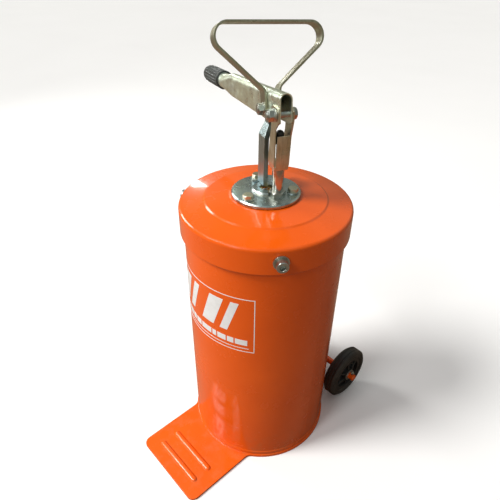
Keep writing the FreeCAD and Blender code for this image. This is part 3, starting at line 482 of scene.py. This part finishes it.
def label():
    """A plain outlined panel with slanted bars and rows of dashes, and no lettering."""
    wide = math.degrees(LABEL_LINE / DRUM_R)
    frame_strips = [
        rectangle(LABEL_A0, LABEL_A1, LABEL_Z1 - LABEL_LINE, LABEL_Z1),
        rectangle(LABEL_A0, LABEL_A1, LABEL_Z0, LABEL_Z0 + LABEL_LINE),
        rectangle(LABEL_A0, LABEL_A0 + wide, LABEL_Z0 + LABEL_LINE, LABEL_Z1 - LABEL_LINE),
        rectangle(LABEL_A1 - wide, LABEL_A1, LABEL_Z0 + LABEL_LINE, LABEL_Z1 - LABEL_LINE),
    ]
    print_on_drum("label_outline", frame_strips)

    bars = []
    start, pitch = LABEL_A0 + LABEL_MARGIN, 17.0
    for i, width in enumerate((11.5, 6.0, 11.5, 6.0)):
        a = start + i * pitch
        bars.append(rectangle(a, a + width, *SLASH_Z, lean=SLASH_LEAN))
    print_on_drum("label_bars", bars)

    dashes = []
    a, end, gap = LABEL_A0 + LABEL_MARGIN, LABEL_A1 - LABEL_MARGIN, 1.1
    for width in (6.0, 3.0, 8.0, 4.5, 6.0, 10.0, 3.5, 7.0, 5.0, 9.0):
        dashes.append(rectangle(a, min(a + width, end), *DASH_Z))
        a += width + gap
    dashes.append(rectangle(LABEL_A0 + 14.0, end, *RULE_Z))
    print_on_drum("label_dashes", dashes)


def print_on_drum(name, shapes):
    points, faces = merge(*[drum_patch(s) for s in shapes])
    piece(name, points, faces, "tank", PRINT_WHITE, smooth=False)


def drum_bead():
    """The rolled bead just under the lid's skirt."""
    mid, rise, half = 400.8, 0.8, 1.9
    arc = [math.pi * (i / 8 - 0.5) for i in range(9)]
    section = [(DRUM_R + rise * math.cos(a), mid + half * math.sin(a)) for a in arc]
    section += [(DRUM_R - 0.5, mid + half), (DRUM_R - 0.5, mid - half)]
    points, faces = lathe(section, 160)
    piece("drum_bead", points, faces, "tank", ENAMEL)


def drum_seam():
    """The welded seam up the back of the drum."""
    low, high, half, crown, steps = 14.5, 397.0, 3.2, 0.45, 100
    rings = []
    for i in range(steps + 1):
        z = low + i * (high - low) / steps
        ring = []
        for k in range(9):
            t = k / 8 * 2 - 1
            across = t * half
            rise = crown * (1 - t * t) * (1 + 0.25 * math.sin(z * 2.1))
            ring.append((across, math.sqrt(DRUM_R**2 - across**2) + rise, z))
        ring += [(half, DRUM_R - 1.0, z), (-half, DRUM_R - 1.0, z)]
        rings.append(ring)
    points, faces = loft(rings)
    piece("drum_seam", points, faces, "tank", ENAMEL)


def base_weld():
    """The bead that joins the drum's chime to the foot plate."""
    count = 360
    path, normal = [], []
    for i in range(count):
        a = 2 * math.pi * i / count
        path.append((CHIME_R * math.cos(a), CHIME_R * math.sin(a), BASE_TOP))
        normal.append((math.cos(a), math.sin(a), 1.0))
    points, faces = bead_line(path, normal, 1.3, 0.12, closed=True)
    piece("base_weld", points, faces, "tank", ENAMEL)


def bracket_welds():
    """Beads along both sides of each axle lug, at the drum and at the base."""
    shells = []
    for side in (-1, 1):
        for face in (-1, 1):
            x = side * BRACKET_X + face * BRACKET_HALF_T
            y = math.sqrt(CHIME_R**2 - x * x)
            out = (face, 1.0, 0.0)
            shells.append(bead_line(spaced((x, y, 13.0), (x, y, 70.0), 1.4), out, 1.4, 0.15))
            out = (face, 0.0, 1.0)
            start, end = (x, y + 1, BASE_TOP), (x, BRACKET_END_Y - 2, BASE_TOP)
            shells.append(bead_line(spaced(start, end, 1.4), out, 1.4, 0.15))
    points, faces = merge(*shells)
    piece("bracket_welds", points, faces, "tank", ENAMEL)


# ---- wheels ----
def wheel_matrix(side):
    """Turns a shape drawn round Z onto the axle at one wheel."""
    return Matrix.Translation((side * WHEEL_X, AXLE_Y, AXLE_Z)) @ Matrix.Rotation(
        math.radians(90 * side), 4, "Y"
    )


def tyre_section():
    """The tyre's outline with two running grooves and a raised line on each side wall."""
    half, radius, rim = 12.0, 50.0, 36.0
    right = [(rim, half - 2.2), (rim + 0.8, half - 0.9), (rim + 2.4, half - 0.1)]
    right += [(rim + 4.0, half - 0.1), (rim + 4.6, half - 0.7), (rim + 7.2, half - 0.8)]
    right += [(rim + 7.8, half - 0.2)]
    right += [(44.6, half - 0.1), (45.6, half - 0.4), (49.4, 8.2), (49.9, 7.6), (radius, 6.6)]
    right += [(radius, 4.9), (49.7, 4.6), (48.8, 4.3), (48.8, 3.5), (49.7, 3.2), (radius, 2.9)]
    left = [(r, -z) for r, z in reversed(right)]
    return right + left


def hub_ribs(side):
    """Stiffening ribs and a raised ring on both faces of the hub's web."""
    ribs = 6
    crest = ((12.0, 11.4), (13.0, 11.0), (20.0, 8.6), (28.5, 8.0), (30.5, 8.4))
    shells = []
    for face in (-1, 1):
        for i in range(ribs):
            turn = Matrix.Rotation(2 * math.pi * i / ribs, 4, "Z")
            rings = []
            for r, top in crest:
                profile = [(-1.6, 3.0), (-1.2, top - 0.5), (-0.7, top)]
                profile += [(-w, h) for w, h in reversed(profile)]
                rings.append([turn @ Vector((r, w, face * h)) for w, h in profile])
            shells.append(loft(rings))
        section = [(20.0, 3.5), (20.3, 6.4), (20.8, 6.8), (22.2, 6.8), (22.7, 6.4), (23.0, 3.5)]
        shells.append(lathe([(r, face * z) for r, z in section], 72))
    return merge(*shells)


def wheels():
    for name, side in (("left", -1), ("right", 1)):
        body = "wheel_" + name
        points, faces = lathe(tyre_section(), 144)
        tyre = piece("tyre_grooved_" + name, points, faces, body, TYRE_RUBBER,
                     wheel_matrix(side))
        sharpen(tyre, 32.0)
        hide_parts("tyre_" + name)
        points, faces = hub_ribs(side)
        ribs = piece("hub_ribs_" + name, points, faces, body, HUB_PLASTIC,
                     wheel_matrix(side))
        sharpen(ribs, 32.0)


def sharpen(made, degrees):
    """Keeps creases crisp above an angle while the rest shades smoothly."""
    made.data.set_sharp_from_angle(angle=math.radians(degrees))


# ---- lever grip ----
def grip():
    """The moulded grip: a collar ring, lengthwise ribs and a rounded end."""
    ribs = 18
    around = ribs * 8
    # distance along the grip, radius and height of the ribs there
    stations = [
        (0.0, 12.6, 0.0), (0.3, 14.2, 0.0), (1.2, 15.0, 0.0), (6.5, 15.0, 0.0),
        (7.6, 14.5, 0.0), (8.4, 12.9, 0.0), (10.5, 12.8, 0.0), (11.5, 13.4, 0.2),
        (13.0, 13.9, 1.0), (50.0, 14.0, 1.0), (86.0, 14.0, 1.0), (89.5, 13.8, 0.7),
        (91.5, 13.9, 0.1), (93.5, 13.8, 0.0), (96.0, 13.0, 0.0), (98.3, 11.2, 0.0),
        (99.5, 8.6, 0.0), (100.0, 5.0, 0.0),
    ]
    rings = []
    for x, radius, ribbing in stations:
        ring = []
        for k in range(around):
            a = 2 * math.pi * k / around
            wave = max(-0.6, math.cos(a * ribs))
            r = radius + ribbing * 0.95 * wave
            ring.append((GRIP_START + x, r * math.cos(a), LEVER_RISE + r * math.sin(a)))
        rings.append(ring)
    points, faces = loft(rings)
    made = piece("grip_ribbed", points, faces, "lever", GRIP_RUBBER, LEVER)
    sharpen(made, 40.0)
    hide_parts("lever_grip")


# ---- head details ----
def head_welds():
    """Beads round the foot of the lever support and round the filler collar."""
    x0, x1 = STRAP_X
    y0, y1 = STRAP_Y
    path = spaced((x0, y0, FLANGE_TOP), (x0, y1, FLANGE_TOP), 1.1)
    shells = [bead_line(path, (-1, 0, 1), 1.1, 0.15)]
    path = spaced((x1, y0, FLANGE_TOP), (x1, y1, FLANGE_TOP), 1.1)
    shells.append(bead_line(path, (1, 0, 1), 1.1, 0.15))
    points, faces = merge(*shells)
    piece("support_welds", points, faces, "lid_and_pump", ZINC, HEAD)

    count = 120
    start = math.atan2(MID_Y, ROD_X)
    path, normal = [], []
    for i in range(count):
        a = start + 2 * math.pi * i / count
        x, y = COLLAR_R * math.cos(a), COLLAR_R * math.sin(a)
        if math.hypot(x - ROD_X, y - MID_Y) > GLAND_POCKET:
            path.append((x, y, FLANGE_TOP))
            normal.append((math.cos(a), math.sin(a), 1.0))
    points, faces = bead_line(path, normal, 0.9, 0.12)
    piece("collar_weld", points, faces, "lid_and_pump", ZINC, HEAD)


# ---- studio ----
CAMERA_AZIMUTH = 45.0          # the view direction turned from +Y towards -X


def studio_point(right, away, up):
    """A point given from the camera's side: to its right, away from it, and up, in metres."""
    c = math.cos(math.radians(CAMERA_AZIMUTH))
    return Vector((c * (right - away), c * (right + away), up))


def floor():
    size = 30.0
    mesh = bpy.data.meshes.new("floor")
    mesh.from_pydata([(-size, -size, 0), (size, -size, 0), (size, size, 0), (-size, size, 0)], [],
                     [(0, 1, 2, 3)])
    mesh.materials.append(pale_floor())
    made = bpy.data.objects.new("floor", mesh)
    bpy.context.scene.collection.objects.link(made)


def sun(name, source, strength, angle, colour):
    light = bpy.data.lights.new(name, "SUN")
    light.energy = strength
    light.angle = math.radians(angle)
    light.color = colour
    made = bpy.data.objects.new(name, light)
    made.rotation_mode = "QUATERNION"
    made.rotation_quaternion = (-studio_point(*source)).to_track_quat("-Z", "Y")
    bpy.context.scene.collection.objects.link(made)


def softbox(name, place, target, size, power, colour):
    light = bpy.data.lights.new(name, "AREA")
    light.shape = "RECTANGLE"
    light.size, light.size_y = size
    light.energy = power
    light.color = colour
    made = bpy.data.objects.new(name, light)
    made.location = studio_point(*place)
    made.rotation_mode = "QUATERNION"
    aim = studio_point(*target) - made.location
    made.rotation_quaternion = aim.to_track_quat("-Z", "Y")
    bpy.context.scene.collection.objects.link(made)


def room():
    """A white surround for the eye and soft light, with a warm and cool room in reflections."""
    world = bpy.data.worlds.new("room")
    bpy.context.scene.world = world
    world.use_nodes = True
    tree = world.node_tree
    tree.nodes.clear()
    new = tree.nodes.new
    link = tree.links.new

    def background(colour, strength):
        made = new("ShaderNodeBackground")
        made.inputs["Color"].default_value = (*colour, 1)
        made.inputs["Strength"].default_value = strength
        return made

    def choice(ray_kind, otherwise, then):
        made = new("ShaderNodeMixShader")
        link(rays.outputs[ray_kind], made.inputs["Fac"])
        link(otherwise, made.inputs[1])
        link(then, made.inputs[2])
        return made.outputs["Shader"]

    direction = new("ShaderNodeTexCoord").outputs["Generated"]
    parts = new("ShaderNodeSeparateXYZ")
    link(direction, parts.inputs["Vector"])
    ramp = new("ShaderNodeValToRGB")
    link(parts.outputs["Z"], ramp.inputs["Fac"])
    stops = ramp.color_ramp.elements
    stops[0].position, stops[0].color = 0.0, (0.20, 0.16, 0.11, 1)
    stops[1].position, stops[1].color = 1.0, (0.31, 0.37, 0.37, 1)
    middle = stops.new(0.30)
    middle.color = (0.16, 0.15, 0.12, 1)
    cloud = new("ShaderNodeTexNoise")
    cloud.inputs["Scale"].default_value = 1.6
    cloud.inputs["Detail"].default_value = 2.0
    link(direction, cloud.inputs["Vector"])
    blotch = new("ShaderNodeMapRange")
    limits = {"From Min": 0.38, "From Max": 0.62, "To Min": 0.7, "To Max": 2.9}
    for socket, value in limits.items():
        blotch.inputs[socket].default_value = value
    link(cloud.outputs["Fac"], blotch.inputs["Value"])
    mirrored = new("ShaderNodeBackground")
    link(ramp.outputs["Color"], mirrored.inputs["Color"])
    link(blotch.outputs["Result"], mirrored.inputs["Strength"])

    ambient = background((1.0, 0.985, 0.96), 0.30)
    white = background((1, 1, 1), 1.0)
    rays = new("ShaderNodeLightPath")
    unseen = choice("Is Glossy Ray", ambient.outputs["Background"], mirrored.outputs["Background"])
    shown = choice("Is Camera Ray", unseen, white.outputs["Background"])
    out = new("ShaderNodeOutputWorld")
    link(shown, out.inputs["Surface"])


def lights():
    """A soft sun from the left, and windows whose reflections show in the paint."""
    warm_white, soft_white, white = (1.0, 0.985, 0.96), (1.0, 0.99, 0.97), (1.0, 1.0, 1.0)
    middle, upper = (0.0, 0.0, 0.4), (0.0, 0.0, 0.45)
    sun("window_light", (-1.0, -0.25, 1.10), 3.0, 20.0, warm_white)
    softbox("left_window", (-1.5, 0.9, 1.15), upper, (0.5, 0.9), 16.0, soft_white)
    softbox("front_window", (-0.9, -1.1, 1.5), middle, (0.35, 0.5), 9.0, white)
    softbox("back_window", (-0.52, 1.5, 0.84), upper, (0.07, 0.16), 0.7, white)


CAMERA_PLACE = (0.0, -0.5729, 0.7567)
CAMERA_PITCH, CAMERA_PAN, CAMERA_ROLL = 34.92, -2.14, 0.61     # degrees
CAMERA_LENS, CAMERA_SENSOR = 33.13, 36.0


def camera():
    """Standing in front of the foot plate and to its right, looking down."""
    pitch, pan = math.radians(CAMERA_PITCH), math.radians(CAMERA_PAN)
    roll = math.radians(CAMERA_ROLL)
    ahead = Vector((math.sin(pan) * math.cos(pitch), math.cos(pan) * math.cos(pitch),
                    -math.sin(pitch)))
    right = Vector((math.cos(pan), -math.sin(pan), 0.0))
    up = right.cross(ahead)
    right, up = (right * math.cos(roll) + up * math.sin(roll),
                 up * math.cos(roll) - right * math.sin(roll))
    data = bpy.data.cameras.new("camera")
    data.lens = CAMERA_LENS
    data.sensor_width = CAMERA_SENSOR
    data.clip_start = 0.01
    made = bpy.data.objects.new("camera", data)
    bpy.context.scene.collection.objects.link(made)
    axes = [studio_point(*v) for v in (right, up, -ahead)]
    turn = Matrix(axes).transposed().to_4x4()
    made.matrix_world = Matrix.Translation(studio_point(*CAMERA_PLACE)) @ turn
    bpy.context.scene.camera = made


bpy.context.scene.view_settings.view_transform = "Standard"
dress_nodes()
label()
drum_bead()
drum_seam()
base_weld()
bracket_welds()
wheels()
grip()
head_welds()
floor()
room()
lights()
camera()
